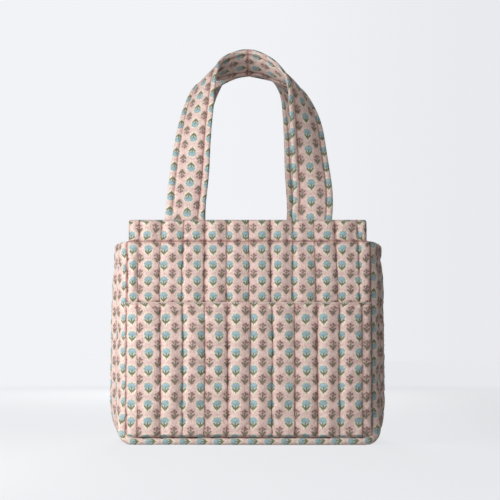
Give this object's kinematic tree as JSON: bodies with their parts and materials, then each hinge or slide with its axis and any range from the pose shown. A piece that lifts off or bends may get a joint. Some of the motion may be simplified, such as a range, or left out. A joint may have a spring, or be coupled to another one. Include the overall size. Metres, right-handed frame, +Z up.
{
  "type": "knitting bag",
  "caption": "Soft upright knitting bag of quilted sprig-print cotton with a full-width front pocket and padded handles that fold down.",
  "frame": {"origin": "middle of the base where it rests, on the floor, halfway between the front and back panels", "axes": "+Z up, the front with the pocket faces -Y, +X to the right when the bag is seen from the front"},
  "size_m": [0.3398, 0.1586, 0.4859],
  "materials": {
    "printed_cotton": "dusty pink cotton printed with small blue flowers and grey-green sprigs, plain weave, matt",
    "lining_cotton": "plain pale pink cotton lining, matt",
    "wadding": "off-white cotton wadding, sewn in",
    "thread": "matt cotton sewing thread in the colour of the cloth",
    "seam_tape": "pale pink cotton tape, matt"
  },
  "bodies": {
    "bag": {"front_cover": "printed_cotton", "front_wadding": "wadding", "front_lining": "lining_cotton", "front_hem": "printed_cotton", "back_cover": "printed_cotton", "back_wadding": "wadding", "back_lining": "lining_cotton", "back_hem": "printed_cotton", "left_side_cover": "printed_cotton", "left_side_wadding": "wadding", "left_side_lining": "lining_cotton", "left_hem": "printed_cotton", "right_side_cover": "printed_cotton", "right_side_wadding": "wadding", "right_side_lining": "lining_cotton", "right_hem": "printed_cotton", "base_cover": "printed_cotton", "base_wadding": "wadding", "base_lining": "lining_cotton", "pocket_cover": "printed_cotton", "pocket_wadding": "wadding", "pocket_lining": "lining_cotton", "front_seam_binding": "seam_tape", "back_seam_binding": "seam_tape", "front_handle_ends": "printed_cotton", "back_handle_ends": "printed_cotton", "front_quilting": "thread", "back_quilting": "thread", "pocket_quilting": "thread", "gusset_quilting": "thread", "front_hem_stitch": "thread", "back_hem_stitch": "thread", "side_hem_stitch": "thread", "pocket_edge_stitch": "thread"},
    "front_handle": {"front_handle_cover": "printed_cotton", "front_handle_padding": "wadding", "front_handle_topstitch": "thread"},
    "back_handle": {"back_handle_cover": "printed_cotton", "back_handle_padding": "wadding", "back_handle_topstitch": "thread"}
  },
  "joints": [
    {"name": "front_handle_fold", "type": "hinge", "parent": "bag", "child": "front_handle", "pos_m": [0, -0.0725, 0.27], "axis": [1, 0, 0], "range_deg": [0, 165]},
    {"name": "back_handle_fold", "type": "hinge", "parent": "bag", "child": "back_handle", "pos_m": [0, 0.0725, 0.27], "axis": [-1, 0, 0], "range_deg": [0, 165]}
  ]
}
